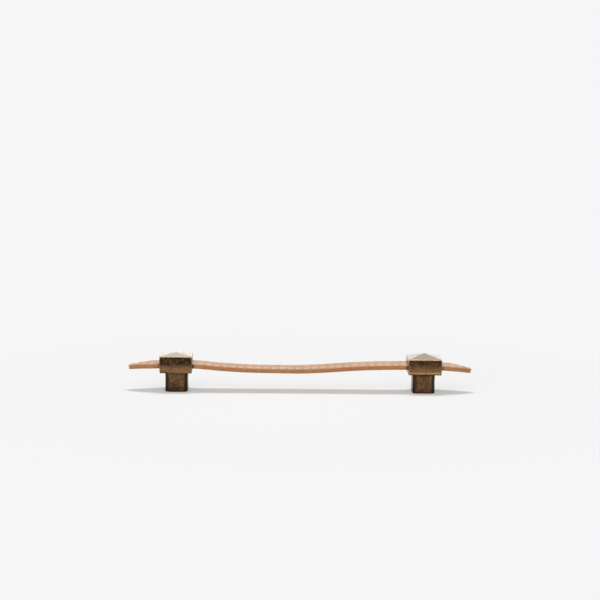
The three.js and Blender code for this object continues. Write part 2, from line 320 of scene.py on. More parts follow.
def section_offsets(width, thickness):
    """A strap section counter-clockwise: underside, right edge, top, left edge. Each point is how
    far across the middle line and how far above it."""
    half, rise = width / 2, thickness / 2
    flat = np.linspace(-1, 1, FACE_POINTS) * (half - EDGE_ROUND)
    turn = np.linspace(-math.pi / 2, math.pi / 2, EDGE_POINTS + 2)[1:-1]
    bulge = np.sign(np.sin(turn)) * np.abs(np.sin(turn)) ** 0.8
    edge_out = half - EDGE_ROUND + EDGE_ROUND * np.cos(turn) ** 0.55
    right = np.stack([edge_out, bulge * rise], axis=1)
    bottom = np.stack([flat, np.full(FACE_POINTS, -rise)], axis=1)
    top = np.stack([flat[::-1], np.full(FACE_POINTS, rise)], axis=1)
    left = np.stack([-edge_out[::-1], bulge[::-1] * rise], axis=1)
    return np.concatenate([bottom, right, top, left])


def strap_rings():
    """Rings of points on the flat strap: how far along, across and above it. Its ends are round."""
    ends = END_ROUND * (1 - np.cos(np.linspace(0, np.pi / 2, END_RINGS)))
    inner = np.linspace(END_ROUND, LENGTH - END_ROUND, INNER_RINGS)[1:-1]
    rings = []
    for along in np.concatenate([ends, inner, (LENGTH - ends)[::-1]]):
        end = min(along, LENGTH - along, END_ROUND) / END_ROUND
        pull = END_PULL * (1 - math.sqrt(max(0.0, 1 - (1 - end) ** 2)))
        section = section_offsets(width_at(along) - 2 * pull, STRAP_THICKNESS - 1.1 * pull)
        rings.append(np.column_stack([np.full(len(section), along), section]))
    return rings


def on_back(across):
    """1 on the strap's back row of stitches and 0 on its front row."""
    return smoothstep(across, 2.0, 4.0)


def make_strap():
    """The leather: grooved along the row of stitches, pinched at its holes, a little uneven."""
    unevenness = Noise(3, 26.0, 3)
    ripple = Noise(5, 5.0, 3)
    fray = Noise(8, 1.6, 3)
    rings = strap_rings()
    per_ring = len(rings[0])
    flat = np.concatenate(rings)
    along, across, above = flat.T
    index = np.arange(len(flat)) % per_ring
    on_right = (index >= FACE_POINTS) & (index < FACE_POINTS + EDGE_POINTS)
    on_edge = on_right | (index >= 2 * FACE_POINTS + EDGE_POINTS)
    on_top = above > 0
    gap, where = row_distance(along, across)
    phase = np.mod(where, PITCH)
    to_hole = np.minimum.reduce([phase, np.abs(phase - STITCH_LENGTH), PITCH - phase])
    groove = np.exp(-((gap / GROOVE_WIDTH) ** 2))
    hole = np.exp(-((np.hypot(gap, to_hole) / HOLE_WIDTH) ** 2))
    covered = np.where(on_top, phase < STITCH_LENGTH, phase > STITCH_LENGTH)
    soft = 0.045 * unevenness(flat) + 0.018 * ripple(flat)
    groove_depth = FRONT_GROOVE_DEPTH + BACK_GROOVE_EXTRA * on_back(across)
    sink = groove_depth * groove + HOLE_DEPTH * hole + COVERED_DEPTH * groove * covered
    pillow = PILLOW_HEIGHT * np.exp(-(((gap - 1.7) / 0.9) ** 2))
    upward = np.where(on_top, 1.0, -1.0)
    raised = above + np.where(on_edge, 0.0, upward * (soft - sink + pillow))
    outward = np.sign(across) * (0.05 * unevenness(flat + 40) + 0.03 * fray(flat * [0.5, 1, 2.4]))
    frayed = across + np.where(on_edge, outward, 0.0)
    places = on_strap(along, frayed, raised)
    faces = []
    for r in range(len(rings) - 1):
        here, ahead = r * per_ring, (r + 1) * per_ring
        for i in range(per_ring):
            j = (i + 1) % per_ring
            faces.append((here + i, here + j, ahead + j, ahead + i))
    faces.append(tuple(range(per_ring))[::-1])
    last = (len(rings) - 1) * per_ring
    faces.append(tuple(range(last, last + per_ring)))
    strap = mesh_object("leather_strap", places, faces)
    near_end = np.minimum(along, LENGTH - along)
    cut_edge = np.where(on_edge, smoothstep(above, 1.55, 1.1), 0.0)
    cut_edge = np.maximum(cut_edge, 1 - smoothstep(near_end, 0.15, 0.6))
    to_edge = width_at(along) / 2 - np.abs(frayed)
    rim = 0.22 * smoothstep(to_edge, 4.4, 2.2) + 0.3 * smoothstep(to_edge, 1.0, 0.2)
    # stain and painted shade on the leather by each slot's mouth
    stain = np.zeros(len(places))
    for shape, outer, share in SLOT_STAINS:
        to_slot = np.abs(places[:, 0] - head_x(shape, outer))
        stain = np.maximum(stain, share * smoothstep(to_slot, SLOT_STAIN_REACH, 0.2))
    write_mask(strap, "cut_edge", cut_edge)
    write_mask(strap, "rim", np.where(on_edge, 0.4, rim))
    write_mask(strap, "underside", np.where(on_top, 0.0, 1.0))
    # painted shade along the stitch groove and in its holes
    write_mask(strap, "stitch_mark", np.where(on_edge, 0.0, np.maximum(0.6 * groove, hole)))
    write_mask(strap, "tip", 1 - smoothstep(near_end, 0.3, 1.6))
    write_mask(strap, "slot_stain", np.where(on_edge, 1.0, 0.25) * stain)
    return strap


# Thread


def thread_line():
    """The thread's middle: how far along the row, and how far above the leather's middle."""
    level = STRAP_THICKNESS / 2 - THREAD_SINK + THREAD_HEIGHT / 2

    def height(to_hole):
        drop = (1 - smoothstep(to_hole, 0, DIVE_LENGTH)) ** 2 * (level - HOLE_LEVEL)
        return level - drop

    over = np.linspace(0, STITCH_LENGTH, 22)
    under = np.linspace(STITCH_LENGTH, PITCH, 18)
    through = HOLE_LEVEL * np.linspace(1, -1, 11)[2:-2]
    centres = []
    for stitch in range(STITCHES):
        start = stitch * PITCH
        centres += [(start + s, height(min(s, STITCH_LENGTH - s))) for s in over]
        centres += [(start + STITCH_LENGTH, z) for z in through]
        centres += [(start + s, -height(min(s - STITCH_LENGTH, PITCH - s))) for s in under]
        centres += [(start + PITCH, -z) for z in through]
    return np.array(centres)


def make_thread():
    """One closed thread of twisted plies, over and under the leather through its slits."""
    centres = thread_line()
    flat = on_row(centres[:, 0])
    sunk = centres[:, 1] * (1 - BACK_THREAD_SINK * on_back(flat[:, 1]))
    places = on_strap(flat[:, 0], flat[:, 1], sunk)
    ahead = np.roll(places, -1, axis=0) - np.roll(places, 1, axis=0)
    ahead /= np.linalg.norm(ahead, axis=1)[:, None] + 1e-12
    run = on_row(centres[:, 0] + 0.05) - on_row(centres[:, 0] - 0.05)
    run /= np.linalg.norm(run, axis=1)[:, None]
    sideways = np.column_stack([-run[:, 1], run[:, 0], np.zeros(len(run))])
    sideways -= ahead * (sideways * ahead).sum(axis=1)[:, None]
    sideways /= np.linalg.norm(sideways, axis=1)[:, None]
    upward = np.cross(ahead, sideways)
    steps_along = np.linalg.norm(np.diff(places, axis=0), axis=1)
    travelled = np.concatenate([[0], np.cumsum(steps_along)])
    turns = round(travelled[-1] / PLY_TURN_LENGTH)
    twist = travelled / travelled[-1] * turns * 2 * np.pi
    angles = 2 * np.pi * np.arange(THREAD_POINTS) / THREAD_POINTS
    swell = 1 + PLY_SWELL * np.cos(PLIES * (angles[None, :] - twist[:, None]))
    wide = (THREAD_WIDTH / 2) * swell * np.cos(angles)
    high = (THREAD_HEIGHT / 2) * swell * np.sin(angles)
    vertices = (
        places[:, None, :]
        + wide[:, :, None] * sideways[:, None, :]
        + high[:, :, None] * upward[:, None, :]
    ).reshape(-1, 3)
    faces = []
    for r in range(len(places)):
        here, there = r * THREAD_POINTS, ((r + 1) % len(places)) * THREAD_POINTS
        for i in range(THREAD_POINTS):
            j = (i + 1) % THREAD_POINTS
            faces.append((here + i, here + j, there + j, there + i))
    thread = mesh_object("sewing_thread", vertices, faces)
    # valley and hole masks carry painted shade between the plies and where the thread dives into
    # the leather
    valley = np.clip((1.02 - swell) / PLY_SWELL, 0, 1).ravel()
    depth = STRAP_THICKNESS / 2 + 0.12 - np.abs(np.repeat(centres[:, 1], THREAD_POINTS))
    write_mask(thread, "ply_valley", valley)
    write_mask(thread, "in_hole", smoothstep(depth, 0.0, 0.45))
    return thread


# Cast bronze


def fine_copy(name, node, voxel):
    """A copy of a CAD node with an even mesh of cells as large as the voxel."""
    source = bpy.data.objects.new(name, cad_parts[node].data.copy())
    bpy.context.scene.collection.objects.link(source)
    merge = bmesh.new()
    merge.from_mesh(source.data)
    bmesh.ops.remove_doubles(merge, verts=merge.verts, dist=1e-6)
    merge.to_mesh(source.data)
    merge.free()
    remesh = source.modifiers.new("skin", "REMESH")
    remesh.mode = "VOXEL"
    remesh.voxel_size = voxel * MM
    remesh.adaptivity = 0.0
    graph = bpy.context.evaluated_depsgraph_get()
    fine = bpy.data.meshes.new_from_object(source.evaluated_get(graph))
    source.modifiers.clear()
    source.data = fine
    fine.name = name
    return source


def make_casting(name, node, voxel, seed):
    """A CAD node with rubbed edges, a slightly uneven cast skin and a flat seat."""
    casting = fine_copy(name, node, voxel)
    fine = casting.data
    seat = min(corner[2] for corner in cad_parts[node].bound_box) / MM
    pairs = edge_pairs(fine)
    points = relaxed(coordinates(fine) / MM, pairs, 1)
    broad = relaxed(points, pairs, EDGE_ROUNDS)
    outward = normals(fine)
    bulge = ((points - broad) * outward).sum(axis=1)
    waviness = Noise(seed, 9.0, 4)
    pits = Noise(seed + 1, 1.7, 3)
    dings = np.clip(Noise(seed + 2, 4.0, 3)(points) - 0.55, 0, 1)
    wear = np.clip(bulge / WORN_BULGE, 0, 1)
    rough_skin = 0.012 * pits(points) - 0.12 * dings
    skin = 0.05 * waviness(points) + (1 - 0.8 * wear) * rough_skin - 0.06 * wear
    points = points + outward * skin[:, None]
    points[:, 2] = np.maximum(points[:, 2], seat)
    fine.vertices.foreach_set("co", (points * MM).ravel())
    fine.polygons.foreach_set("use_smooth", [True] * len(fine.polygons))
    fine.update()
    to_end, to_side = np.abs(outward[:, 0]), np.abs(outward[:, 1])
    write_mask(casting, "edge_wear", wear)
    write_mask(casting, "recess", np.clip(-bulge / RECESS_BULGE, 0, 1))
    # corner and end_wall masks carry painted reflection: dark round the posts' corners, pale on the
    # heads' upper end walls
    write_mask(casting, "corner", 2 * np.abs(outward[:, 0] * outward[:, 1]))
    write_mask(casting, "end_wall", smoothstep(to_end, 0.6, 0.9))
    write_mask(casting, "end_edge", smoothstep(to_end - to_side, -0.1, 0.2))
    return casting


# Materials

UNDERSIDE_DARKEST = 15.3  # the height at which a head's lower edge is darkest, painted shade
LINE_LOW = (16.1, 16.6)  # heights between which a head's bright lower line, a painted highlight, sets in
LINE_HIGH = (17.6, 17.0)  # and ends


def palette(**colours):
    return {name: srgb(*colour) for name, colour in colours.items()}


BRONZE = palette(
    soot=(26, 16, 10),
    pale=(190, 146, 100),
    russet=(112, 70, 44),
    speck=(150, 112, 74),
    umber=(44, 29, 19),
    fleck=(172, 134, 90),
    dark_fleck=(40, 27, 18),
    worn_edge=(166, 132, 94),
    # painted reflection of the bright backdrop on the heads' upper end walls
    worn_end=(226, 210, 192),
    # painted highlight along a head's lower edge
    lower_line=(196, 156, 108),
    # painted shade at a head's lower edge
    underside=(38, 26, 17),
    # duller patches in the crown's painted reflection
    dull_crown=(120, 100, 82),
    recess=(30, 22, 16),
    # upright streaks of painted reflection on the posts
    streak=(150, 108, 62),
    dark_streak=(46, 32, 22),
    worn_post=(150, 118, 84),
    # painted dark reflection on the posts' rounded corners
    corner=(42, 30, 21),
)
STEEL = palette(bright=(150, 146, 140), dull=(108, 100, 92))
LEATHER = palette(
    top_dark=(200, 152, 113),
    top_light=(212, 168, 129),
    blotch=(190, 140, 104),
    pore=(176, 128, 92),
    cut_dark=(176, 112, 60),
    cut_light=(200, 140, 84),
    cut_layer=(142, 84, 42),
    cut_pale=(208, 160, 116),
    flesh_dark=(176, 128, 90),
    flesh_light=(198, 156, 118),
    rim=(178, 122, 80),
    # painted shade along the stitch groove and in its holes
    tip=(222, 192, 168),
    stitch_mark=(140, 90, 54),
    # stain and painted shade by the slots' mouths
    slot_stain=(74, 48, 28),
)
THREAD = palette(
    dark=(246, 234, 214),
    light=(253, 246, 232),
    grime=(226, 204, 172),
    # painted shade between the plies
    valley=(190, 160, 126),
    # painted shade where the thread dives into its holes
    hole=(158, 118, 84),
)


class Shader:
    """A node material that is built up by short calls."""

    def __init__(self, name):
        self.material = bpy.data.materials.new(name)
        self.material.use_nodes = True
        self.tree = self.material.node_tree
        self.tree.nodes.clear()
        self.output = self.add("ShaderNodeOutputMaterial")
        self.surface = self.add("ShaderNodeBsdfPrincipled")
        self.link(self.surface, "BSDF", self.output, "Surface")
        self.place = self.add("ShaderNodeTexCoord")

    def add(self, kind, **settings):
        node = self.tree.nodes.new(kind)
        for key, value in settings.items():
            setattr(node, key, value)
        return node

    def link(self, node, output, other, socket):
        self.tree.links.new(node.outputs[output], other.inputs[socket])

    def put(self, node, socket, value):
        """A number, a colour, or the output of a node goes into a socket."""
        if isinstance(value, bpy.types.NodeSocket):
            self.tree.links.new(value, node.inputs[socket])
        else:
            node.inputs[socket].default_value = value

    def mapped(self, stretch):
        """Places on the object, stretched along its axes."""
        mapping = self.add("ShaderNodeMapping")
        mapping.inputs["Scale"].default_value = stretch
        self.link(self.place, "Object", mapping, "Vector")
        return mapping.outputs["Vector"]

    def noise(self, size, detail, roughness, stretch=(1, 1, 1), distortion=0.0):
        """Noise whose features are about size millimetres."""
        node = self.add("ShaderNodeTexNoise")
        self.put(node, "Vector", self.mapped(stretch))
        self.put(node, "Scale", 1 / (size * MM))
        self.put(node, "Detail", detail)
        self.put(node, "Roughness", roughness)
        self.put(node, "Distortion", distortion)
        return node.outputs["Fac"]

    def cells(self, size, feature, stretch=(1, 1, 1)):
        """Irregular cells about size millimetres across."""
        node = self.add("ShaderNodeTexVoronoi", feature=feature)
        self.put(node, "Vector", self.mapped(stretch))
        self.put(node, "Scale", 1 / (size * MM))
        return node.outputs["Distance"]

    def mask(self, name):
        node = self.add("ShaderNodeAttribute", attribute_name=name)
        return node.outputs["Fac"]

    def math(self, operation, a, b=0.0, clamp=False):
        node = self.add("ShaderNodeMath", operation=operation, use_clamp=clamp)
        self.put(node, 0, a)
        self.put(node, 1, b)
        return node.outputs[0]

    def ramp(self, value, low, high, start=0.0, end=1.0):
        """From start to end, smoothly, as the value goes from low to high."""
        node = self.add("ShaderNodeMapRange", interpolation_type="SMOOTHSTEP")
        self.put(node, "Value", value)
        self.put(node, "From Min", low)
        self.put(node, "From Max", high)
        self.put(node, "To Min", start)
        self.put(node, "To Max", end)
        return node.outputs["Result"]

    def tones(self, value, stops):
        """A colour that follows a value through stops, each a value and its colour."""
        low, high = stops[0][0], stops[-1][0]
        node = self.add("ShaderNodeValToRGB")
        self.put(node, "Fac", self.math("DIVIDE", self.math("SUBTRACT", value, low), high - low))
        elements = node.color_ramp.elements
        elements.remove(elements[1])
        elements[0].position, elements[0].color = 0.0, stops[0][1]
        for at, colour in stops[1:]:
            elements.new((at - low) / (high - low)).color = colour
        return node.outputs["Color"]

    def mix(self, share, a, b):
        """Colour a with a share of colour b."""
        node = self.add("ShaderNodeMix", data_type="RGBA", blend_type="MIX")
        self.put(node, 0, share)
        self.put(node, 6, a)
        self.put(node, 7, b)
        return node.outputs[2]

    def bump(self, height, distance, strength=1.0, before=None):
        node = self.add("ShaderNodeBump")
        self.put(node, "Height", height)
        self.put(node, "Distance", distance * MM)
        self.put(node, "Strength", strength)
        if before is not None:
            self.put(node, "Normal", before)
        return node.outputs["Normal"]

    def finish(self, **sockets):
        """The material, with these values in the surface's sockets."""
        for socket, value in sockets.items():
            self.put(self.surface, socket.replace("_", " "), value)
        return self.material


def height_axis(shader):
    """The height above the mounting surface in metres."""
    split = shader.add("ShaderNodeSeparateXYZ")
    shader.link(shader.place, "Object", split, "Vector")
    return split.outputs["Z"]


def facing_up(shader):
    """1 where the surface looks up, 0 on walls."""
    geometry = shader.add("ShaderNodeNewGeometry")
    split = shader.add("ShaderNodeSeparateXYZ")
    shader.link(geometry, "Normal", split, "Vector")
    return split.outputs["Z"]


def patina(s, stops):
    """Mottled brown patina whose tone changes with height, through stops in millimetres. The stops
    carry painted reflection and shade.
    """
    broad = s.noise(6.5, 4.0, 0.6)
    mottling = s.noise(2.4, 5.0, 0.66, distortion=0.4)
    fine = s.noise(0.7, 4.0, 0.6)
    speck = s.noise(0.28, 3.0, 0.6)
    fleck = s.noise(1.1, 2.0, 0.5, distortion=0.6)
    height = s.math("DIVIDE", height_axis(s), MM)
    wobble = s.math("MULTIPLY", s.math("SUBTRACT", mottling, 0.5), 5.0)
    wobble_fine = s.math("MULTIPLY", s.math("SUBTRACT", fine, 0.5), 3.0)
    # the stops paint reflection and shade by height
    tone = s.tones(s.math("ADD", s.math("ADD", height, wobble), wobble_fine), stops)
    tone = s.mix(s.ramp(mottling, 0.36, 0.52, 0.3, 0.0), tone, BRONZE["soot"])
    tone = s.mix(s.ramp(mottling, 0.5, 0.68, 0.0, 0.28), tone, BRONZE["pale"])
    tone = s.mix(s.ramp(broad, 0.45, 0.62, 0.0, 0.3), tone, BRONZE["russet"])
    tone = s.mix(s.ramp(speck, 0.54, 0.72, 0.0, 0.25), tone, BRONZE["speck"])
    tone = s.mix(s.ramp(fine, 0.56, 0.74, 0.0, 0.4), tone, BRONZE["umber"])
    fleck_share = s.math(
        "MULTIPLY", s.ramp(fleck, 0.56, 0.66, 0.0, 0.42), s.ramp(fine, 0.35, 0.6)
    )
    tone = s.mix(fleck_share, tone, BRONZE["fleck"])
    tone = s.mix(s.ramp(fleck, 0.42, 0.34, 0.0, 0.25), tone, BRONZE["dark_fleck"])
    rough = s.ramp(mottling, 0.3, 0.7, 0.3, 0.44)
    rough = s.math("ADD", rough, s.ramp(speck, 0.5, 0.75, 0.0, 0.1))
    relief = s.bump(fine, 0.05, 0.6, s.bump(mottling, 0.16, 0.5))
    relief = s.bump(speck, 0.02, 0.5, relief)
    return tone, rough, relief, height, mottling, fine


def head_bronze(name, stops, crown, rim_height, rim, underside_height, lower_line):
    """The walls darken upwards, a painted reflection, and into the lower edge, a painted shade; the
    lower edge may carry a bright line, a painted highlight. The crown is pale, a painted reflection
    of the bright backdrop, as are the upper end walls, and the rim between walls and crown is
    rubbed and carries a painted highlight."""
    s = Shader(name)
    tone, rough, relief, height, mottling, fine = patina(s, stops)
    wear = s.mask("edge_wear")
    broken = s.math("MULTIPLY", wear, s.ramp(fine, 0.3, 0.62, 0.3, 1.0))
    tone = s.mix(s.ramp(broken, 0.25, 0.9, 0.0, 0.7), tone, BRONZE["worn_edge"])
    # painted reflection of the bright backdrop on the upper end walls
    upper = s.ramp(height, rim_height - 5.0, rim_height - 1.5)
    worn = s.math("MULTIPLY", s.mask("end_wall"), upper)
    tone = s.mix(s.math("MULTIPLY", worn, 0.65), tone, BRONZE["worn_end"])
    # painted highlight: a bright line along the lower edge
    line = s.math("MULTIPLY", s.ramp(height, *LINE_LOW), s.ramp(height, *LINE_HIGH))
    broken_line = s.ramp(mottling, 0.34, 0.5, 0.5 * lower_line, lower_line)
    tone = s.mix(s.math("MULTIPLY", line, broken_line), tone, BRONZE["lower_line"])
    # painted shade towards the lower edge
    shade = s.ramp(height, underside_height, UNDERSIDE_DARKEST, 0.0, 0.95)
    tone = s.mix(shade, tone, BRONZE["underside"])
    # the crown: a pale painted reflection of the bright backdrop on upward faces
    up = facing_up(s)
    top = s.ramp(up, 0.6, 0.9)
    dull = s.mix(0.35, crown, BRONZE["dull_crown"])
    tone = s.mix(top, tone, s.mix(s.ramp(mottling, 0.42, 0.68, 0.0, 0.4), crown, dull))
    # the rim: rubbed edges toned as a painted highlight
    at_rim = s.ramp(height, rim_height - 0.75, rim_height)
    near_rim = s.math("MULTIPLY", s.ramp(wear, 0.2, 0.7), at_rim)
    near_rim = s.math("MULTIPLY", near_rim, s.ramp(up, 0.96, 0.86, 0.15, 1.0))
    near_rim = s.math("MULTIPLY", near_rim, s.ramp(s.mask("end_edge"), 0.0, 1.0, 1.0, 0.25))
    tone = s.mix(near_rim, tone, rim)
    tone = s.mix(s.math("MULTIPLY", s.mask("recess"), 0.85), tone, BRONZE["recess"])
    rough = s.math("SUBTRACT", rough, s.math("MULTIPLY", top, 0.14))
    rough = s.math("ADD", rough, s.math("MULTIPLY", near_rim, 0.3))
    s.surface.inputs["Coat Weight"].default_value = 0.12
    s.surface.inputs["Coat Roughness"].default_value = 0.14
    return s.finish(Base_Color=tone, Metallic=1.0, Roughness=rough, Normal=relief)


def post_bronze(name, stops):
    """Painted shade at the foot and under the head, a painted dark reflection round the corners,
    and faint upright streaks of painted reflection.
    """
    s = Shader(name)
    tone, rough, relief, height, *_ = patina(s, stops)
    # upright streaks of painted reflection, light and dark
    streak = s.noise(3.0, 2.0, 0.5, (1, 1, 0.12))
    streak_share = s.math(
        "MULTIPLY", s.ramp(streak, 0.5, 0.66, 0.0, 0.4), s.ramp(height, 2.0, 6.0)
    )
    tone = s.mix(streak_share, tone, BRONZE["streak"])
    tone = s.mix(s.ramp(streak, 0.46, 0.34, 0.0, 0.3), tone, BRONZE["dark_streak"])
    wear = s.math("MULTIPLY", s.mask("edge_wear"), s.ramp(height, 1.0, 4.0))
    tone = s.mix(s.ramp(wear, 0.25, 0.9, 0.0, 0.5), tone, BRONZE["worn_post"])
    # painted dark reflection round the rounded corners
    tone = s.mix(s.ramp(s.mask("corner"), 0.15, 0.7, 0.0, 0.85), tone, BRONZE["corner"])
    tone = s.mix(s.math("MULTIPLY", s.mask("recess"), 0.85), tone, BRONZE["recess"])
    s.surface.inputs["Coat Weight"].default_value = 0.12
    s.surface.inputs["Coat Roughness"].default_value = 0.2
    return s.finish(Base_Color=tone, Metallic=1.0, Roughness=rough, Normal=relief)


def steel_material():
    """Plain steel of the hidden studs."""
    s = Shader("stud_steel")
    turned = s.noise(0.25, 3.0, 0.6, (1, 1, 6))
    stain = s.noise(2.5, 4.0, 0.6)
    tone = s.mix(s.ramp(stain, 0.35, 0.7), STEEL["bright"], STEEL["dull"])
    rough = s.ramp(stain, 0.3, 0.7, 0.3, 0.5)
    relief = s.bump(turned, 0.02, 0.5)
    return s.finish(Base_Color=tone, Metallic=1.0, Roughness=rough, Normal=relief)


def leather_material():
    """Natural tan leather: pebbled grain on top, burnished fibrous edges, a dull underside."""
    s = Shader("tan_leather")
    cloud = s.noise(14.0, 4.0, 0.55)
    blotch = s.noise(3.5, 4.0, 0.6)
    pores = s.noise(0.35, 3.0, 0.6)
    pebbles = s.cells(0.75, "SMOOTH_F1")
    creases = s.cells(1.9, "DISTANCE_TO_EDGE", (0.7, 1.15, 1))
    fibres = s.noise(0.5, 5.0, 0.65, (0.16, 1, 2.2))
    layers = s.noise(0.35, 4.0, 0.6, (0.08, 1, 1.8))
    top = s.mix(s.ramp(cloud, 0.35, 0.66), LEATHER["top_dark"], LEATHER["top_light"])
    top = s.mix(s.ramp(blotch, 0.42, 0.7, 0.0, 0.4), top, LEATHER["blotch"])
    top = s.mix(s.ramp(pores, 0.55, 0.72, 0.0, 0.35), top, LEATHER["pore"])
    cut = s.mix(s.ramp(fibres, 0.34, 0.68), LEATHER["cut_dark"], LEATHER["cut_light"])
    cut = s.mix(s.ramp(layers, 0.53, 0.7, 0.0, 0.65), cut, LEATHER["cut_layer"])
    cut = s.mix(s.ramp(blotch, 0.5, 0.72, 0.0, 0.45), cut, LEATHER["cut_pale"])
    flesh = s.mix(s.ramp(fibres, 0.35, 0.7), LEATHER["flesh_dark"], LEATHER["flesh_light"])
    tone = s.mix(s.mask("underside"), top, flesh)
    tone = s.mix(s.math("MULTIPLY", s.mask("rim"), 0.5), tone, LEATHER["rim"])
    tone = s.mix(s.mask("cut_edge"), tone, cut)
    tone = s.mix(s.math("MULTIPLY", s.mask("tip"), 0.6), tone, LEATHER["tip"])
    # painted shade along the stitch groove and in its holes
    mark = s.math("MULTIPLY", s.mask("stitch_mark"), 0.7)
    tone = s.mix(mark, tone, LEATHER["stitch_mark"])
    # stain and painted shade by the slots' mouths
    stain = s.math("MULTIPLY", s.mask("slot_stain"), s.ramp(blotch, 0.3, 0.55, 0.6, 0.95))
    tone = s.mix(stain, tone, LEATHER["slot_stain"])
    rough = s.ramp(blotch, 0.3, 0.7, 0.5, 0.62)
    rough = s.math("ADD", rough, s.math("MULTIPLY", s.mask("underside"), 0.2), True)
    rough = s.math("SUBTRACT", rough, s.math("MULTIPLY", s.mask("cut_edge"), 0.1))
    grain = s.bump(pebbles, 0.07, 0.7)
    grain = s.bump(s.ramp(creases, 0.0, 0.16), 0.05, 0.45, grain)
    grain = s.bump(pores, 0.03, 0.5, grain)
    grain = s.bump(fibres, 0.06, 0.3, grain)
    s.surface.inputs["Sheen Weight"].default_value = 0.12
    s.surface.inputs["Sheen Roughness"].default_value = 0.5
    return s.finish(Base_Color=tone, Roughness=rough, Normal=grain)


def thread_material():
    """Cream waxed thread, with painted shade between its plies and in its holes."""
    s = Shader("waxed_thread")
    fluff = s.noise(0.16, 4.0, 0.65)
    grime = s.noise(5.0, 3.0, 0.6)
    tone = s.mix(s.ramp(fluff, 0.35, 0.7), THREAD["dark"], THREAD["light"])
    tone = s.mix(s.ramp(grime, 0.45, 0.7, 0.0, 0.3), tone, THREAD["grime"])
    # painted shade between the plies and in the holes
    tone = s.mix(s.math("MULTIPLY", s.mask("ply_valley"), 0.35), tone, THREAD["valley"])
    tone = s.mix(s.math("MULTIPLY", s.mask("in_hole"), 0.7), tone, THREAD["hole"])
    rough = s.ramp(grime, 0.3, 0.7, 0.5, 0.7)
    s.surface.inputs["Sheen Weight"].default_value = 0.2
    return s.finish(Base_Color=tone, Roughness=rough, Normal=s.bump(fluff, 0.03, 0.6))


def paint(obj, material):
    """The object wears this material and no other."""
    obj.data.materials.clear()
    obj.data.materials.append(material)


# The pieces

strap = make_strap()
paint(strap, leather_material())
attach(strap, "root")
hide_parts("strap")

thread = make_thread()
paint(thread, thread_material())
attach(thread, "root")
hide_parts("stitching")

# Heads: the height stops paint shade at the lower edge and reflection on the walls, lighter below
# and darker above; the crown tone is a painted reflection of the bright backdrop and the rim tone a
# painted highlight on the rubbed edge.
left_head_bronze = head_bronze(
    "aged_bronze_left_head",
    stops=[
        (15.2, srgb(70, 50, 30)),
        (16.4, srgb(150, 117, 82)),
        (19.0, srgb(142, 109, 78)),
        (22.4, srgb(43, 30, 14)),
    ],
    crown=srgb(228, 213, 198),
    rim_height=28.45,
    rim=srgb(172, 145, 94),
    underside_height=16.1,
    lower_line=0.0,
)
right_head_bronze = head_bronze(
    "aged_bronze_right_head",
    stops=[
        (16.6, srgb(155, 119, 81)),
        (18.6, srgb(139, 104, 70)),
        (24.0, srgb(58, 38, 22)),
    ],
    crown=srgb(200, 184, 169),
    rim_height=27.45,
    rim=srgb(172, 143, 96),
    underside_height=16.6,
    lower_line=0.8,
)
# Posts: the lowest and highest stops paint shade, darker at the foot and under the head.
left_post_bronze = post_bronze(
    "aged_bronze_left_post",
    [
        (0.0, srgb(48, 32, 19)),
        (9.0, srgb(98, 72, 48)),
        (13.4, srgb(104, 76, 51)),
        (15.4, srgb(54, 38, 25)),
    ],
)
right_post_bronze = post_bronze(
    "aged_bronze_right_post",
    [
        (0.0, srgb(56, 38, 23)),
        (4.5, srgb(104, 75, 50)),
        (12.6, srgb(109, 79, 54)),
        (14.6, srgb(38, 26, 16)),
    ],
)
castings = [
    ("left_head", "cast_head_left", HEAD_VOXEL, 11, left_head_bronze),
    ("right_head", "cast_head_right", HEAD_VOXEL, 23, right_head_bronze),
    ("left_post", "cast_post_left", POST_VOXEL, 37, left_post_bronze),
    ("right_post", "cast_post_right", POST_VOXEL, 41, right_post_bronze),
]
for node, name, voxel, seed, bronze in castings:
    casting = make_casting(name, node, voxel, seed)
    paint(casting, bronze)
    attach(casting, "root")
    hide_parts(node)

steel = steel_material()
for node in ("left_stud", "right_stud"):
    for material_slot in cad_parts[node].material_slots:
        material_slot.material = steel

# Camera, from the photograph's perspective

YAW, TILT, ROLL = math.radians(-1.2737), math.radians(7.9692), math.radians(0.6579)
DISTANCE = 1442.19
TARGET = Vector((-0.7806, 0.0, 71.6648))
FOCAL_PIXELS = 1859.84
PICTURE_PIXELS = 600.0
SENSOR_WIDTH = 36.0
back = Vector((math.sin(YAW) * math.cos(TILT), -math.cos(YAW) * math.cos(TILT), math.sin(TILT)))
level_right = Vector((math.cos(YAW), math.sin(YAW), 0.0))
level_up = back.cross(level_right)
right = level_right * math.cos(ROLL) + level_up * math.sin(ROLL)
up = level_up * math.cos(ROLL) - level_right * math.sin(ROLL)
lens = bpy.data.cameras.new("camera")
lens.sensor_width = SENSOR_WIDTH
lens.lens = FOCAL_PIXELS * SENSOR_WIDTH / PICTURE_PIXELS
lens.clip_start, lens.clip_end = 0.05, 100.0
camera = bpy.data.objects.new("camera", lens)
bpy.context.scene.collection.objects.link(camera)
turn = Matrix((right, up, back)).transposed().to_4x4()
camera.matrix_world = Matrix.Translation((TARGET + back * DISTANCE) * MM) @ turn
bpy.context.scene.camera = camera

# Floor, backdrop and light

PALE = 0.922  # how bright the plain background is
SKY_STRENGTH = 0.30
FLOOR_HALF_SIZE = 6000.0
FLOOR_DROP = 0.02  # keeps the floor clear of the posts' feet
FLOOR_MATT = (0.85, 0.85, 0.85, 1)
SHADOW_SHARE = (0.61, 0.594, 0.587)  # how much of the light and shadow the seen floor takes
SHADOW_LIFT = (0.325, 0.34, 0.347)  # the glow that makes up for the rest
FADE_START, FADE_END = 0.15, 0.32  # metres from the middle
LIGHTS = [
    # name, place and target in metres, width, depth, power
    ("top_softbox", (0.0, 0.13, 1.4), (0, 0, 0), 0.5, 0.26, 12.0),
    ("front_fill", (-0.3, -1.5, 1.0), (0, 0, 0.02), 2.4, 1.5, 12.0),
]


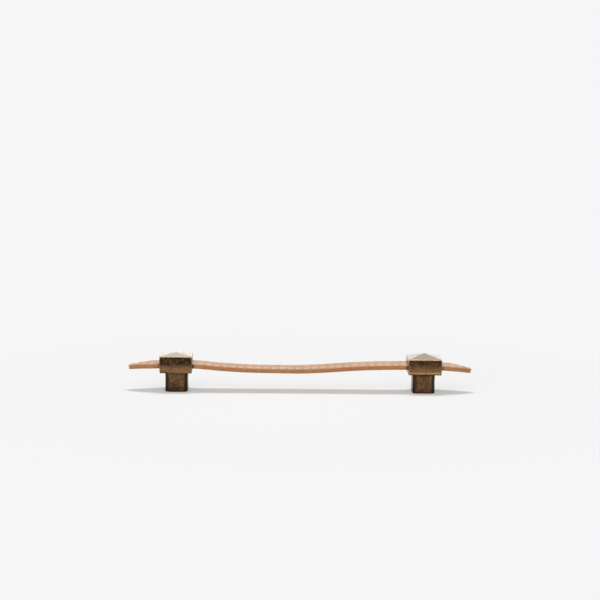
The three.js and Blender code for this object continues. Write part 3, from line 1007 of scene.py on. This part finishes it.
def seen_directly(tree):
    """1 for camera, glossy and transmission rays."""
    path = tree.nodes.new("ShaderNodeLightPath")
    first = tree.nodes.new("ShaderNodeMath")
    first.operation = "MAXIMUM"
    tree.links.new(path.outputs["Is Camera Ray"], first.inputs[0])
    tree.links.new(path.outputs["Is Glossy Ray"], first.inputs[1])
    second = tree.nodes.new("ShaderNodeMath")
    second.operation = "MAXIMUM"
    tree.links.new(first.outputs[0], second.inputs[0])
    tree.links.new(path.outputs["Is Transmission Ray"], second.inputs[1])
    return second.outputs[0]


def make_world():
    """A soft light from all sides that is seen as the plain background."""
    world = bpy.data.worlds.new("studio")
    bpy.context.scene.world = world
    world.use_nodes = True
    tree = world.node_tree
    tree.nodes.clear()
    output = tree.nodes.new("ShaderNodeOutputWorld")
    sky = tree.nodes.new("ShaderNodeBackground")
    sky.inputs["Strength"].default_value = SKY_STRENGTH
    plain = tree.nodes.new("ShaderNodeBackground")
    plain.inputs["Color"].default_value = (PALE, PALE, PALE, 1)
    mix = tree.nodes.new("ShaderNodeMixShader")
    tree.links.new(seen_directly(tree), mix.inputs[0])
    tree.links.new(sky.outputs[0], mix.inputs[1])
    tree.links.new(plain.outputs[0], mix.inputs[2])
    tree.links.new(mix.outputs[0], output.inputs["Surface"])


def floor_material():
    """Pale floor: it takes the shadow near the object and fades into the background further out."""
    material = bpy.data.materials.new("pale_floor")
    material.use_nodes = True
    tree = material.node_tree
    tree.nodes.clear()
    output = tree.nodes.new("ShaderNodeOutputMaterial")
    seen = seen_directly(tree)
    matt = tree.nodes.new("ShaderNodeBsdfDiffuse")
    matt.inputs["Color"].default_value = FLOOR_MATT
    shadowed = tree.nodes.new("ShaderNodeBsdfDiffuse")
    shadowed.inputs["Color"].default_value = (*SHADOW_SHARE, 1)
    glow = tree.nodes.new("ShaderNodeEmission")
    glow.inputs["Color"].default_value = (*SHADOW_LIFT, 1)
    near = tree.nodes.new("ShaderNodeAddShader")
    tree.links.new(shadowed.outputs[0], near.inputs[0])
    tree.links.new(glow.outputs[0], near.inputs[1])
    far = tree.nodes.new("ShaderNodeEmission")
    far.inputs["Strength"].default_value = PALE
    place = tree.nodes.new("ShaderNodeTexCoord")
    distance = tree.nodes.new("ShaderNodeVectorMath")
    distance.operation = "LENGTH"
    tree.links.new(place.outputs["Object"], distance.inputs[0])
    fade = tree.nodes.new("ShaderNodeMapRange")
    fade.interpolation_type = "SMOOTHSTEP"
    fade.inputs["From Min"].default_value = FADE_START
    fade.inputs["From Max"].default_value = FADE_END
    tree.links.new(distance.outputs["Value"], fade.inputs["Value"])
    picture = tree.nodes.new("ShaderNodeMixShader")
    tree.links.new(fade.outputs["Result"], picture.inputs[0])
    tree.links.new(near.outputs[0], picture.inputs[1])
    tree.links.new(far.outputs[0], picture.inputs[2])
    mix = tree.nodes.new("ShaderNodeMixShader")
    tree.links.new(seen, mix.inputs[0])
    tree.links.new(matt.outputs[0], mix.inputs[1])
    tree.links.new(picture.outputs[0], mix.inputs[2])
    tree.links.new(mix.outputs[0], output.inputs["Surface"])
    return material


def area_light(name, place, target, width, depth, power):
    light = bpy.data.lights.new(name, "AREA")
    light.shape = "RECTANGLE"
    light.size, light.size_y = width, depth
    light.energy = power
    obj = bpy.data.objects.new(name, light)
    bpy.context.scene.collection.objects.link(obj)
    obj.location = place
    obj.rotation_mode = "QUATERNION"
    direction = Vector(target) - Vector(place)
    obj.rotation_quaternion = direction.to_track_quat("-Z", "Y")


floor_corners = ((-1, -1), (1, -1), (1, 1), (-1, 1))
floor = mesh_object(
    "floor",
    [(x * FLOOR_HALF_SIZE, y * FLOOR_HALF_SIZE, -FLOOR_DROP) for x, y in floor_corners],
    [(0, 1, 2, 3)],
    smooth=False,
)
floor.data.materials.append(floor_material())

make_world()
for light in LIGHTS:
    area_light(*light)

# Cards round the object that only its gloss shows: black beside and in front, a bright one low at
# the back and a grey one above it

CARD_TONES = {
    # brightness, colour
    "card_black": (0.015, (1, 1, 1, 1)),
    "card_grey": (0.7, (1, 1, 1, 1)),
    "card_bright": (1.4, (0.9, 0.965, 1, 1)),
}
CARDS = [
    # name, tone, from and to on the floor, low, high, how far its top leans in y
    ("card_left", "card_black", (-500, -700), (-500, 250), 10, 180, 0),
    ("card_right", "card_black", (500, -700), (500, 250), 10, 180, 0),
    ("card_front", "card_black", (-500, -700), (500, -700), 10, 180, 0),
    ("card_high", "card_grey", (-700, 800), (700, 800), 260, 1000, -300),
    ("card_back", "card_bright", (-700, 800), (700, 800), 5, 250, 0),
]


def card_material(name, brightness, colour):
    material = bpy.data.materials.new(name)
    material.use_nodes = True
    tree = material.node_tree
    tree.nodes.clear()
    glow = tree.nodes.new("ShaderNodeEmission")
    glow.inputs["Strength"].default_value = brightness
    glow.inputs["Color"].default_value = colour
    output = tree.nodes.new("ShaderNodeOutputMaterial")
    tree.links.new(glow.outputs[0], output.inputs["Surface"])
    return material


card_materials = {name: card_material(name, *tone) for name, tone in CARD_TONES.items()}
for name, tone, (x0, y0), (x1, y1), low, high, lean in CARDS:
    corners = [(x0, y0, low), (x1, y1, low), (x1, y1 + lean, high), (x0, y0 + lean, high)]
    card = mesh_object(name, corners, [(0, 1, 2, 3)], smooth=False)
    card.data.materials.append(card_materials[tone])
    card.visible_camera = False
    card.visible_diffuse = False
    card.visible_transmission = False
    card.visible_shadow = False

bpy.context.scene.view_settings.view_transform = "Standard"
